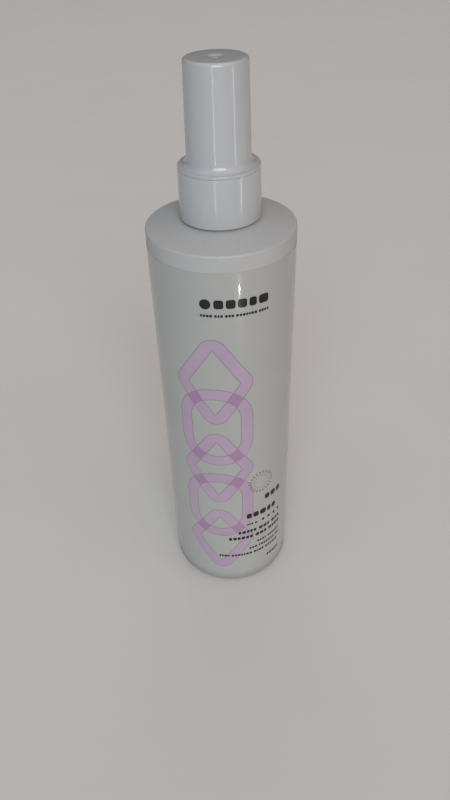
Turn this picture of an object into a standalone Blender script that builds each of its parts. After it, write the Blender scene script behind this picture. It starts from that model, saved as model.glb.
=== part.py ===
"""Finger-pump spray bottle: a blow-moulded bottle, its wrap label, a screw collar, an overcap and a
pre-compression mist pump.

Lengths below are millimetres and are turned into metres where meshes are made. +Z is up, the bottle's axis
is the Z axis, the table is z = 0, and the spray leaves towards -Y.
"""

import math

import bmesh
import bpy
from mathutils import Matrix, Vector

MM = 0.001

# Driving dimensions -------------------------------------------------------------------------------------
BODY_R = 26.0           # bottle's outer radius
SHOULDER_Z = 166.3      # height of the shoulder's outer edge
WALL = 1.0              # bottle wall
GAP = 0.25              # clearance between faces that touch on the real object
BODY_SIDES = 40         # facets round the bottle, label, collar and overcap
PUMP_SIDES = 24         # facets round the pump's parts
STROKE = 5.5            # how far the finger pushes the actuator down
PITCH = 3.175           # 24-410 neck thread, 8 turns to the inch

# Neck and thread
NECK_R = 10.9
NECK_BORE_R = 9.3
NECK_FOOT_Z = SHOULDER_Z + 2.6
NECK_TOP_Z = 182.0
THREAD_HEIGHT = 1.0
NECK_THREAD_TURNS = 1.5
COLLAR_THREAD_TURNS = 1.25
NECK_THREAD_Z = 174.9   # middle of the rib where the neck thread starts
THREAD_ROOT = 1.6       # rib width at the wall
THREAD_CREST = 1.0      # rib width at its crest
THREAD_BITE = 0.15      # free play between the flanks that pull the collar down

# Label
LABEL_LOW_Z = 7.5
LABEL_HIGH_Z = 160.6
LABEL_FILM = 0.15
LABEL_GAP = 0.1

# Stack above the neck: gasket, housing flange, collar roof
GASKET_Z = NECK_TOP_Z + GAP
GASKET_THICK = 0.8
FLANGE_Z = GASKET_Z + GASKET_THICK + GAP
FLANGE_THICK = 1.0
ROOF_Z = FLANGE_Z + FLANGE_THICK + GAP
ROOF_THICK = 1.2
ROOF_TOP_Z = ROOF_Z + ROOF_THICK
STACK_R = NECK_R - 0.1  # outside of the gasket and the housing's flange

# Collar and overcap
COLLAR_LOW_Z = 169.4
COLLAR_LOW_R = 14.0
COLLAR_HIGH_R = 13.6
COLLAR_BORE_R = 12.2
SHROUD_R = 9.3          # ring on the collar that the overcap grips
SHROUD_BORE_R = 8.3
SHROUD_TOP_Z = 193.2
CAP_TOP_Z = 217.8
CAP_TOP_R = 10.0
CAP_LOW_R = 10.65
CAP_FLANGE_Z = ROOF_TOP_Z + GAP
CAP_WALL = 1.2

# Stem guide
GUIDE_LOW_Z = 178.75
GUIDE_TOP_Z = 188.2
GUIDE_BORE_R = 2.2

# Actuator, clear of the collar and the guide by more than its stroke
ACTUATOR_R = 7.8
ACTUATOR_LOW_Z = ROOF_TOP_Z + STROKE + 0.55
ACTUATOR_TOP_Z = 210.3
SOCKET_LOW_Z = GUIDE_TOP_Z + STROKE + 0.3
NOZZLE_Z = 205.0
NOZZLE_SEAT_DEPTH = 3.2

# Pump
STEM_R = 1.95
STEM_BORE_R = 0.9
STEM_TOP_Z = 200.4
STEM_LOW_Z = 172.8
STOP_Z = 180.5          # underside of the stem's stop flange
STOP_THICK = 0.8
FOOT_HEAD_Z = STEM_LOW_Z - GAP - 1.3    # underside of the stem foot's head, which the spring pushes on
BORE_R = 4.5            # bore the piston runs in
PISTON_LOW_Z = 172.8
PISTON_TOP_Z = 177.8
PISTON_SPRING_Z = PISTON_TOP_Z - 0.5    # the recess that the valve spring stands in
SPRING_LEDGE_Z = 159.5
BALL_R = 1.5
BALL_Z = 157.0
NIPPLE_LOW_Z = 146.0
TUBE_R = 2.0
TUBE_BORE_R = 1.2
TUBE_TOP_Z = 153.5
TUBE_LOW_Z = 6.6


# Mesh tools ---------------------------------------------------------------------------------------------
def clear_scene():
    for obj in list(bpy.data.objects):
        bpy.data.objects.remove(obj)


def plastic(name, colour, roughness, metallic=0.0):
    material = bpy.data.materials.new(name)
    material.use_nodes = True
    shader = material.node_tree.nodes["Principled BSDF"]
    shader.inputs["Base Color"].default_value = (*colour, 1.0)
    shader.inputs["Roughness"].default_value = roughness
    shader.inputs["Metallic"].default_value = metallic
    return material


def rounded(corners, steps=3):
    """The outline through (r, z) corners. A third number rounds that corner to that radius."""
    points = []
    count = len(corners)
    for i, corner in enumerate(corners):
        here = Vector(corner[:2])
        if len(corner) == 2:
            points.append(here)
            continue
        before = (Vector(corners[i - 1][:2]) - here).normalized()
        after = (Vector(corners[(i + 1) % count][:2]) - here).normalized()
        half = before.angle(after) / 2
        centre = here + (before + after).normalized() * corner[2] / math.sin(half)
        start = here + before * corner[2] / math.tan(half) - centre
        sweep = start.angle_signed(here + after * corner[2] / math.tan(half) - centre)
        for k in range(steps + 1):
            # angle_signed counts clockwise, so the rotation is negated.
            points.append(centre + Matrix.Rotation(-sweep * k / steps, 2) @ start)
    return points


def add_object(name, bm, material=None):
    bmesh.ops.recalc_face_normals(bm, faces=bm.faces)
    mesh = bpy.data.meshes.new(name)
    bm.to_mesh(mesh)
    bm.free()
    mesh.shade_smooth()
    mesh.set_sharp_from_angle(angle=math.radians(35))
    obj = bpy.data.objects.new(name, mesh)
    bpy.context.scene.collection.objects.link(obj)
    if material:
        mesh.materials.append(material)
    return obj


def turned(name, outline, material=None, sides=PUMP_SIDES):
    """A solid of revolution about Z from a closed (r, z) outline; points on the axis are welded."""
    bm = bmesh.new()
    ring = [bm.verts.new((r * MM, 0, z * MM)) for r, z in outline]
    edges = [
        bm.edges.new((a, b))
        for a, b in zip(ring, ring[1:] + ring[:1])
        if max(a.co.x, b.co.x) > 1e-7
    ]
    bmesh.ops.spin(
        bm,
        geom=ring + edges,
        cent=(0, 0, 0),
        axis=(0, 0, 1),
        angle=math.tau,
        steps=sides,
        use_merge=True,
    )
    bmesh.ops.remove_doubles(bm, verts=bm.verts, dist=1e-7)
    return add_object(name, bm, material)


def lofted(name, rings, material=None, closed=False):
    """A skin over equal rings of points in mm: capped at both ends, or joined end to end if closed."""
    bm = bmesh.new()
    loops = [[bm.verts.new(Vector(p) * MM) for p in ring] for ring in rings]
    pairs = list(zip(loops, loops[1:]))
    if closed:
        pairs.append((loops[-1], loops[0]))
    for low, high in pairs:
        for i in range(len(low)):
            j = (i + 1) % len(low)
            bm.faces.new((low[i], low[j], high[j], high[i]))
    if not closed:
        bm.faces.new(loops[0])
        bm.faces.new(loops[-1])
    return add_object(name, bm, material)


def helper(obj):
    """Marks a shape that only cuts or joins another one."""
    obj.hide_render = True
    obj.display_type = "WIRE"
    return obj


def boolean(obj, other, operation):
    modifier = obj.modifiers.new(operation.title() + " " + other.name, "BOOLEAN")
    modifier.object = helper(other)
    modifier.operation = operation
    modifier.solver = "EXACT"


def rod(name, radius, low, high, sides=24, axis="Z", at=(0, 0, 0)):
    """A plain cylinder from low to high along an axis, with at as the axis's other two coordinates."""
    bm = bmesh.new()
    length = high - low
    turn = Matrix.Identity(4)
    if axis == "Y":
        turn = Matrix.Rotation(math.radians(-90), 4, "X")
    if axis == "X":
        turn = Matrix.Rotation(math.radians(90), 4, "Y")
    along = turn @ Vector((0, 0, (low + high) / 2))
    bmesh.ops.create_cone(
        bm,
        cap_ends=True,
        segments=sides,
        radius1=radius * MM,
        radius2=radius * MM,
        depth=length * MM,
        matrix=Matrix.Translation((along + Vector(at)) * MM) @ turn,
    )
    return add_object(name, bm)


def box(name, low, high):
    bm = bmesh.new()
    size = Vector(high) - Vector(low)
    middle = (Vector(high) + Vector(low)) / 2
    place = Matrix.Translation(middle * MM) @ Matrix.Diagonal((*(size * MM), 1))
    bmesh.ops.create_cube(bm, size=1, matrix=place)
    return add_object(name, bm)


def helical_rib(name, wall_r, crest_r, start_z, start_turn, turns, root, crest):
    """A thread rib that rises from a round wall to its crest and runs out into the wall at both ends."""
    side = 1 if crest_r > wall_r else -1
    foot_r = wall_r - side * 0.35
    buried_r = wall_r - side * 0.12
    steps = round(turns * BODY_SIDES)
    runout = 0.09
    rings = []
    for i in range(steps + 1):
        share = i / steps
        rise = min(1.0, min(share, 1 - share) / runout)
        top_r = buried_r + (crest_r - buried_r) * rise
        angle = (start_turn + share * turns) * math.tau
        z = start_z + share * turns * PITCH
        section = (
            (foot_r, z - root / 2),
            (top_r, z - crest / 2),
            (top_r, z + crest / 2),
            (foot_r, z + root / 2),
        )
        rings.append([(r * math.cos(angle), r * math.sin(angle), h) for r, h in section])
    return lofted(name, rings)


def coil_spring(name, mean_r, wire_r, low_z, high_z, coils, material):
    """A wire spring with a closed end coil at each end."""
    wire_sides = 4
    per_coil = 12
    steps = coils * per_coil
    low, high = low_z + wire_r, high_z - wire_r
    closed_share = 1 / coils
    closed_rise = 2.15 * wire_r
    rings = []
    for i in range(steps + 1):
        share = i / steps
        end = min(share, 1 - share) / closed_share
        if end < 1:
            rise = closed_rise * end
            z = low + rise if share < 0.5 else high - rise
        else:
            middle = (share - closed_share) / (1 - 2 * closed_share)
            z = low + closed_rise + middle * (high - low - 2 * closed_rise)
        angle = share * coils * math.tau
        out = Vector((math.cos(angle), math.sin(angle), 0))
        ring = []
        for k in range(wire_sides):
            turn = k * math.tau / wire_sides
            offset = out * (mean_r + wire_r * math.cos(turn))
            ring.append(offset + Vector((0, 0, z + wire_r * math.sin(turn))))
        rings.append(ring)
    return lofted(name, rings, material)


# The bottle and its label -------------------------------------------------------------------------------
def build_bottle(material):
    """Blow-moulded body with a pushed-up base, a shallow shoulder and a threaded neck, open at the top."""
    base_ring_r = 21.0
    push_up = 2.4
    base_wall = 1.3
    corner = 3.0
    edge = 1.1
    inner_r = BODY_R - WALL
    outline = rounded(
        [
            (0, push_up),
            (base_ring_r - 5.0, push_up),
            (base_ring_r, 0),
            (BODY_R, 0, corner),
            (BODY_R, SHOULDER_Z, edge),
            (NECK_R + 1.6, NECK_FOOT_Z),
            (NECK_R, NECK_FOOT_Z + 0.9),
            (NECK_R, NECK_TOP_Z - 0.4),
            (NECK_R - 0.4, NECK_TOP_Z),
            (NECK_BORE_R, NECK_TOP_Z),
            (NECK_BORE_R, NECK_FOOT_Z - 1.4),
            (inner_r, SHOULDER_Z - 1.3),
            (inner_r, base_wall, corner - WALL / 2),
            (base_ring_r, base_wall),
            (base_ring_r - 5.0, push_up + base_wall),
            (0, push_up + base_wall),
        ]
    )
    bottle = turned("bottle", outline, material, BODY_SIDES)
    thread = helical_rib(
        "neck_thread",
        NECK_R,
        NECK_R + THREAD_HEIGHT,
        NECK_THREAD_Z,
        0.0,
        NECK_THREAD_TURNS,
        THREAD_ROOT,
        THREAD_CREST,
    )
    boolean(bottle, thread, "UNION")


def build_label(material):
    """The printed film that wraps the whole body between the base corner and the shoulder."""
    inner = BODY_R + LABEL_GAP
    outer = inner + LABEL_FILM
    turned(
        "wrap_label",
        [
            (inner, LABEL_LOW_Z),
            (outer, LABEL_LOW_Z),
            (outer, LABEL_HIGH_Z),
            (inner, LABEL_HIGH_Z),
        ],
        material,
        BODY_SIDES,
    )


# The collar and overcap ---------------------------------------------------------------------------------
def build_collar(material):
    """Screw closure: a threaded skirt, a roof with a hole for the pump, and the ring the overcap grips."""
    roof_hole_r = 4.95
    outline = rounded(
        [
            (COLLAR_BORE_R, COLLAR_LOW_Z),
            (COLLAR_LOW_R, COLLAR_LOW_Z, 0.6),
            (COLLAR_HIGH_R, ROOF_TOP_Z, 0.35),
            (SHROUD_R, ROOF_TOP_Z),
            (SHROUD_R, SHROUD_TOP_Z, 0.35),
            (SHROUD_BORE_R, SHROUD_TOP_Z),
            (SHROUD_BORE_R, ROOF_TOP_Z),
            (roof_hole_r, ROOF_TOP_Z),
            (roof_hole_r, ROOF_Z),
            (COLLAR_BORE_R, ROOF_Z),
        ]
    )
    collar = turned("screw_collar", outline, material, BODY_SIDES)
    below = (THREAD_ROOT + THREAD_CREST) / 2 + THREAD_BITE
    lead_in = COLLAR_THREAD_TURNS - 1.0
    thread = helical_rib(
        "collar_thread",
        COLLAR_BORE_R,
        NECK_R + GAP,
        NECK_THREAD_Z - below - lead_in * PITCH,
        -lead_in,
        COLLAR_THREAD_TURNS,
        THREAD_ROOT,
        THREAD_CREST,
    )
    boolean(collar, thread, "UNION")


def build_overcap(material):
    """Tall thin-walled cap with a dimpled top and a flared foot whose flange sits on the collar."""
    flange_r = 13.55
    flange_thick = 0.75
    flare = 2.6
    dimple_r, dimple_depth = 2.5, 0.4
    bore_low_r = CAP_LOW_R - CAP_WALL
    bore_top_r = CAP_TOP_R - CAP_WALL
    outline = rounded(
        [
            (0, CAP_TOP_Z - dimple_depth),
            (dimple_r * 0.55, CAP_TOP_Z - dimple_depth * 0.75),
            (dimple_r, CAP_TOP_Z),
            (CAP_TOP_R, CAP_TOP_Z, 1.2),
            (CAP_LOW_R, CAP_FLANGE_Z + flange_thick, flare),
            (flange_r, CAP_FLANGE_Z + flange_thick, 0.25),
            (flange_r, CAP_FLANGE_Z),
            (bore_low_r, CAP_FLANGE_Z),
            (bore_low_r, SHROUD_TOP_Z),
            (bore_top_r, CAP_TOP_Z - CAP_WALL - dimple_depth),
            (0, CAP_TOP_Z - CAP_WALL - dimple_depth),
        ]
    )
    turned("overcap", outline, material, BODY_SIDES)


# The actuator and its nozzle ----------------------------------------------------------------------------
def build_actuator(material):
    """Push button: outer skin, stem socket, nozzle boss and ribs, with the passage from stem to nozzle."""
    skin = 0.9
    top_wall = 1.6
    dish = 0.9
    socket_r = 3.2
    boss_r = 3.3
    seat_r, pin_r = 2.3, 1.1
    channel_r = 0.7
    channel_z = NOZZLE_Z + (seat_r + pin_r) / 2
    inner_r = ACTUATOR_R - skin
    roof_z = ACTUATOR_TOP_Z - top_wall - dish
    outline = rounded(
        [
            (0, ACTUATOR_TOP_Z - dish),
            (ACTUATOR_R * 0.45, ACTUATOR_TOP_Z - dish * 0.75),
            (ACTUATOR_R - 1.3, ACTUATOR_TOP_Z),
            (ACTUATOR_R - 0.1, ACTUATOR_TOP_Z, 0.7),
            (ACTUATOR_R, ACTUATOR_LOW_Z),
            (inner_r, ACTUATOR_LOW_Z),
            (inner_r, roof_z),
            (0, roof_z),
        ]
    )
    actuator = turned("actuator", outline, material, PUMP_SIDES)
    boolean(actuator, rod("stem_socket", socket_r, SOCKET_LOW_Z, roof_z + 0.5), "UNION")
    boss = rod("nozzle_boss", boss_r, 1.0 - ACTUATOR_R, 0, 24, "Y", (0, 0, NOZZLE_Z))
    boolean(actuator, boss, "UNION")
    for i in range(3):
        rib = box("rib_%d" % i, (2.6, -0.4, SOCKET_LOW_Z + 3), (inner_r + 0.4, 0.4, roof_z + 0.4))
        rib.rotation_euler.z = math.radians(90 * i)
        boolean(actuator, rib, "UNION")
    boolean(actuator, rod("socket_bore", STEM_R + 0.15, SOCKET_LOW_Z - 1, STEM_TOP_Z + GAP), "DIFFERENCE")
    boolean(actuator, rod("riser", channel_r, STEM_TOP_Z, channel_z + channel_r), "DIFFERENCE")
    seat_y = -ACTUATOR_R + NOZZLE_SEAT_DEPTH
    channel = rod("channel", channel_r - 0.1, seat_y - 0.6, 0, 12, "Y", (0, 0, channel_z))
    boolean(actuator, channel, "DIFFERENCE")
    spot = rod("spot_face", seat_r + 0.7, -ACTUATOR_R - 1, -ACTUATOR_R + 0.6, 24, "Y", (0, 0, NOZZLE_Z))
    boolean(actuator, spot, "DIFFERENCE")
    pin_top = NOZZLE_SEAT_DEPTH - 1.6
    seat = turned(
        "nozzle_seat",
        [
            (pin_r, 0),
            (seat_r, 0),
            (seat_r, NOZZLE_SEAT_DEPTH),
            (0, NOZZLE_SEAT_DEPTH),
            (0, pin_top),
            (pin_r, pin_top),
        ],
    )
    place_on_nozzle_axis(seat, seat_y)
    boolean(actuator, seat, "DIFFERENCE")


def place_on_nozzle_axis(obj, y):
    """Turns a piece made along +Z so that it points out along -Y, with its foot at that y."""
    obj.rotation_euler.x = math.radians(90)
    obj.location = Vector((0, y, NOZZLE_Z)) * MM


def build_nozzle(material):
    """Swirl cup with a fine orifice, which fits over the pin in the actuator's seat."""
    length = 2.3
    outer_r, cup_r, orifice_r = 2.15, 1.25, 0.22
    face = 0.8
    cup_depth = length - face
    outline = rounded(
        [
            (cup_r, 0),
            (outer_r, 0),
            (outer_r, length, 0.2),
            (orifice_r + 0.45, length),
            (orifice_r, length - 0.3),
            (orifice_r, cup_depth),
            (cup_r, cup_depth),
        ],
        2,
    )
    nozzle = turned("nozzle_insert", outline, material, PUMP_SIDES)
    place_on_nozzle_axis(nozzle, -ACTUATOR_R + NOZZLE_SEAT_DEPTH - 0.2)


# The pump -----------------------------------------------------------------------------------------------
def build_gasket(material):
    """Flat ring that seals the housing's flange on the neck."""
    hole_r = 7.3
    turned(
        "neck_gasket",
        [
            (hole_r, GASKET_Z),
            (STACK_R, GASKET_Z),
            (STACK_R, GASKET_Z + GASKET_THICK),
            (hole_r, GASKET_Z + GASKET_THICK),
        ],
        material,
    )


def build_housing(material):
    """Pump cylinder: clamping flange, piston bore, spring ledge, ball seat and the nipple for the tube."""
    seat_r, seat_z = 0.9, 155.4
    cone_r, cone_z = 1.9, 156.6
    bead_r, bead_z = 1.3, 158.55
    cup_r, cup_bore_r, cup_low_z = 7.0, 6.0, GUIDE_LOW_Z - GAP
    spring_bore_r, spring_bore_top_z = 3.0, 163.0
    sleeve_r, sleeve_low_z, sleeve_top_z = 4.1, 156.0, 160.5
    barrel_r = 5.6
    nipple_r, nipple_bore_r = 3.1, TUBE_R + 0.15
    nipple_root_z = TUBE_TOP_Z + 0.7
    vent_r, vent_z = 0.5, 176.4
    outline = [
        (nipple_bore_r, NIPPLE_LOW_Z),
        (nipple_r, NIPPLE_LOW_Z),
        (nipple_r, sleeve_low_z - 2.0),
        (sleeve_r, sleeve_low_z),
        (sleeve_r, sleeve_top_z),
        (barrel_r, sleeve_top_z + 2.5),
        (barrel_r, cup_low_z - 1.2),
        (cup_r, cup_low_z - 0.4),
        (cup_r, FLANGE_Z),
        (STACK_R, FLANGE_Z),
        (STACK_R, FLANGE_Z + FLANGE_THICK),
        (cup_bore_r, FLANGE_Z + FLANGE_THICK),
        (cup_bore_r, cup_low_z),
        (BORE_R, cup_low_z),
        (BORE_R, spring_bore_top_z + 1.0),
        (spring_bore_r, spring_bore_top_z),
        (spring_bore_r, SPRING_LEDGE_Z),
        (bead_r + 0.3, SPRING_LEDGE_Z),
        (bead_r, SPRING_LEDGE_Z - 0.3),
        (bead_r, bead_z),
        (cone_r, bead_z),
        (cone_r, cone_z),
        (seat_r, seat_z),
        (seat_r, nipple_root_z),
        (nipple_bore_r, nipple_root_z),
    ]
    housing = turned("pump_housing", outline, material)
    vent = rod("vent", vent_r, 0, STACK_R, 12, "X", (0, 0, vent_z))
    boolean(housing, vent, "DIFFERENCE")


def build_stem_guide(material):
    """Snap-in guide that closes the housing and steers the stem; its bead holds the collar on the pump."""
    plug_r = 5.75
    boss_r = 4.6
    bead_r, bead_z = 5.25, ROOF_TOP_Z + GAP
    well_r = 3.5
    well_top_z = STOP_Z + STOP_THICK + GAP
    turned(
        "stem_guide",
        rounded(
            [
                (well_r, GUIDE_LOW_Z),
                (plug_r, GUIDE_LOW_Z, 0.3),
                (plug_r, FLANGE_Z + FLANGE_THICK),
                (boss_r, FLANGE_Z + FLANGE_THICK),
                (boss_r, bead_z),
                (bead_r, bead_z),
                (boss_r, bead_z + 0.9),
                (boss_r, GUIDE_TOP_Z, 0.5),
                (GUIDE_BORE_R, GUIDE_TOP_Z),
                (GUIDE_BORE_R, well_top_z),
                (well_r, well_top_z),
            ],
            2,
        ),
        material,
    )


def build_stem(material):
    """Hollow stem with its stop flange and two side ports just above the piston's seat."""
    stop_r = 3.1
    port_r = 0.3
    outline = [
        (STEM_BORE_R, STEM_LOW_Z),
        (STEM_R, STEM_LOW_Z),
        (STEM_R, STOP_Z),
        (stop_r, STOP_Z),
        (stop_r, STOP_Z + STOP_THICK),
        (STEM_R, STOP_Z + STOP_THICK),
        (STEM_R, STEM_TOP_Z - 0.3),
        (STEM_R - 0.3, STEM_TOP_Z),
        (STEM_BORE_R, STEM_TOP_Z),
    ]
    stem = turned("pump_stem", outline, material)
    ports = rod("stem_ports", port_r, -3, 3, 8, "X", (0, 0, STEM_LOW_Z + 0.8))
    boolean(stem, ports, "DIFFERENCE")


def build_stem_foot(material):
    """Plug in the stem's lower end: the seat the piston closes on, and the pin that centres the spring."""
    head_r = 3.2
    head_top_z = STEM_LOW_Z - GAP
    pin_r, pin_low_z = 1.3, FOOT_HEAD_Z - 4.2
    plug_r, plug_top_z = STEM_BORE_R - 0.12, STEM_LOW_Z + 0.4
    turned(
        "stem_foot",
        [
            (0, pin_low_z),
            (pin_r - 0.4, pin_low_z),
            (pin_r, pin_low_z + 0.6),
            (pin_r, FOOT_HEAD_Z),
            (head_r, FOOT_HEAD_Z),
            (head_r, head_top_z),
            (plug_r, head_top_z),
            (plug_r, plug_top_z),
            (0, plug_top_z),
        ],
        material,
    )


def build_piston(material):
    """Soft piston: two lips that wipe the bore and a sleeve that slides on the stem over its ports."""
    lip_r, waist_r, sleeve_bore_r = BORE_R - 0.08, 3.7, STEM_R + 0.1
    turned(
        "piston",
        [
            (sleeve_bore_r, PISTON_LOW_Z),
            (waist_r - 0.8, PISTON_LOW_Z),
            (waist_r - 0.4, PISTON_LOW_Z + 0.7),
            (lip_r - 0.35, PISTON_LOW_Z + 0.2),
            (lip_r, PISTON_LOW_Z + 0.2),
            (lip_r, PISTON_LOW_Z + 0.6),
            (waist_r, PISTON_LOW_Z + 1.8),
            (waist_r, PISTON_TOP_Z - 1.4),
            (lip_r, PISTON_TOP_Z - 0.4),
            (lip_r, PISTON_TOP_Z),
            (lip_r - 0.35, PISTON_TOP_Z),
            (waist_r - 0.3, PISTON_SPRING_Z),
            (sleeve_bore_r, PISTON_SPRING_Z),
        ],
        material,
    )


def build_ball(material):
    """Inlet check ball, at rest on its conical seat."""
    bm = bmesh.new()
    bmesh.ops.create_uvsphere(bm, u_segments=16, v_segments=10, radius=BALL_R * MM)
    ball = add_object("inlet_ball", bm, material)
    ball.location.z = BALL_Z * MM


def build_springs(material):
    """The stem's return spring in the housing, and the lighter spring that holds the piston on its seat."""
    coil_spring("return_spring", 2.3, 0.3, SPRING_LEDGE_Z + GAP, FOOT_HEAD_Z - GAP, 8, material)
    coil_spring("valve_spring", 2.6, 0.18, PISTON_SPRING_Z + GAP, STOP_Z - GAP, 4, material)


def build_dip_tube(material):
    """Tube from the housing's nipple to the base, bowed towards the front and cut on a slant."""
    sides = 12
    stations = 18
    bow = 9.0
    straight_z = 135.0
    slant = 0.9
    walls = []
    for radius in (TUBE_R, TUBE_BORE_R):
        rings = []
        for i in range(stations + 1):
            share = i / stations
            z = TUBE_TOP_Z + (TUBE_LOW_Z - TUBE_TOP_Z) * share
            fall = max(0.0, (straight_z - z) / (straight_z - TUBE_LOW_Z))
            y = -bow * fall**2
            tilt = math.atan(2 * bow * fall / (straight_z - TUBE_LOW_Z))
            ring = []
            for k in range(sides):
                turn = k * math.tau / sides
                across = radius * math.sin(turn)
                z_cut = across * slant if i == stations else 0.0
                x = radius * math.cos(turn)
                ring.append((x, y + across * math.cos(tilt), z + z_cut + across * math.sin(tilt)))
            rings.append(ring)
        walls.append(rings)
    outer, inner = walls
    lofted("dip_tube", outer + inner[::-1], material, closed=True)


def main():
    clear_scene()
    bottle_grey = plastic("bottle_satin_hdpe", (0.56, 0.57, 0.55), 0.45)
    label_film = plastic("label_gloss_film", (0.53, 0.55, 0.51), 0.2)
    cap_grey = plastic("cap_gloss_pp", (0.57, 0.59, 0.59), 0.18)
    natural = plastic("natural_pp", (0.80, 0.80, 0.77), 0.35)
    soft = plastic("soft_pe", (0.86, 0.86, 0.84), 0.5)
    steel = plastic("stainless_steel", (0.62, 0.62, 0.63), 0.25, 1.0)
    tube = plastic("tube_pe", (0.82, 0.83, 0.82), 0.4)

    build_bottle(bottle_grey)
    build_label(label_film)
    build_collar(cap_grey)
    build_overcap(cap_grey)
    build_actuator(cap_grey)
    build_nozzle(natural)
    build_gasket(soft)
    build_housing(natural)
    build_stem_guide(natural)
    build_stem(natural)
    build_stem_foot(natural)
    build_piston(soft)
    build_ball(steel)
    build_springs(steel)
    build_dip_tube(tube)


main()
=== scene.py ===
"""Looks for the finger-pump spray bottle: fine meshes, label print, procedural materials, light, camera.

Lengths are in millimetres, and are turned into metres where meshes are made. The bottle's axis is +Z, the
floor is z = 0, and the nozzle and the middle of the label face -Y.
"""

import math
import random

import bmesh
import bpy
from mathutils import Matrix, Vector


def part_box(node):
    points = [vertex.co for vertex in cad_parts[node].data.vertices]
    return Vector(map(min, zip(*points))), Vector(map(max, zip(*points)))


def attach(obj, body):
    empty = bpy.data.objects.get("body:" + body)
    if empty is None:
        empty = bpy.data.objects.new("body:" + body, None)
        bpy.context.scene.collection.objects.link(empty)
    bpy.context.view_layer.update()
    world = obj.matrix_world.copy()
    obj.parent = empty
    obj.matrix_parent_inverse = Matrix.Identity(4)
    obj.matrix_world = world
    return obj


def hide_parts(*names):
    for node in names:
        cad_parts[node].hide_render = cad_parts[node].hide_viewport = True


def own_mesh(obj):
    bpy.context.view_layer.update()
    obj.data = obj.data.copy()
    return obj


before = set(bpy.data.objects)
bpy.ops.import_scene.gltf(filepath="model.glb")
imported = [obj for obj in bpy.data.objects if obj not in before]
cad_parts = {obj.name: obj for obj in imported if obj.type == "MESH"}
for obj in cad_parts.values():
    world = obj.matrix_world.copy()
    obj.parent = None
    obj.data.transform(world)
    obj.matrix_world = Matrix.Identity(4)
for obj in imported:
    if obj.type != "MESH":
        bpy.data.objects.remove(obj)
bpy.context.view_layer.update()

MM = 0.001
ROUND = 128             # sides of the large turned pieces
FINE = 72               # sides of the pump's turned pieces
LABEL_SIDES = 192       # sides of the label, and the grid its print is cut to
CREASE = math.radians(32)  # a sharper edge than this is shaded as a crease


def extent(node):
    """(radius, lowest z, highest z) of a CAD node in mm."""
    low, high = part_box(node)
    return high.x / MM, low.z / MM, high.z / MM


# Sizes from the frame -----------------------------------------------------------------------------------
BODY_R, _, NECK_TOP = extent("bottle")
_, LABEL_LOW, LABEL_HIGH = extent("wrap_label")
COLLAR_R, COLLAR_LOW, SHROUD_TOP = extent("screw_collar")
FLANGE_R, CAP_LOW, CAP_TOP = extent("overcap")
ACTUATOR_R, ACTUATOR_LOW, ACTUATOR_TOP = extent("actuator")
GASKET_R, GASKET_LOW, GASKET_TOP = extent("neck_gasket")
HOUSING_R, HOUSING_LOW, HOUSING_TOP = extent("pump_housing")
_, GUIDE_LOW, GUIDE_TOP = extent("stem_guide")
STOP_R, STEM_LOW, STEM_TOP = extent("pump_stem")
FOOT_R, FOOT_LOW, FOOT_TOP = extent("stem_foot")
PISTON_R, PISTON_LOW, PISTON_TOP = extent("piston")
BALL_R, BALL_LOW, _ = extent("inlet_ball")
_, TUBE_LOW, TUBE_TOP = extent("dip_tube")

# Sizes inside those boxes -------------------------------------------------------------------------------
SHOULDER_EDGE = 166.3   # height of the shoulder's outer edge
NECK_R = 10.9
NECK_BORE_R = 9.3
PITCH = 3.175           # rise of the thread in one turn
THREAD_START = 174.9    # height where the neck's thread starts
ROOF_TOP = CAP_LOW - 0.25   # the collar's roof, under the overcap
ROOF_LOW = ROOF_TOP - 1.2
SHROUD_R = 9.3          # the collar's upstanding ring, which grips the overcap
SHROUD_BORE_R = 8.3
NOZZLE_Z = 205.0
STEM_R = 1.95
STEM_BORE_R = 0.9
LABEL_FILM = 0.06
LABEL_INNER_R = BODY_R + 0.04
INK = 0.02              # thickness of a printed layer
PRINT_R = LABEL_INNER_R + LABEL_FILM + 0.02
OVERPRINT_R = PRINT_R + 0.03    # of print that lies over the first layer


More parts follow.
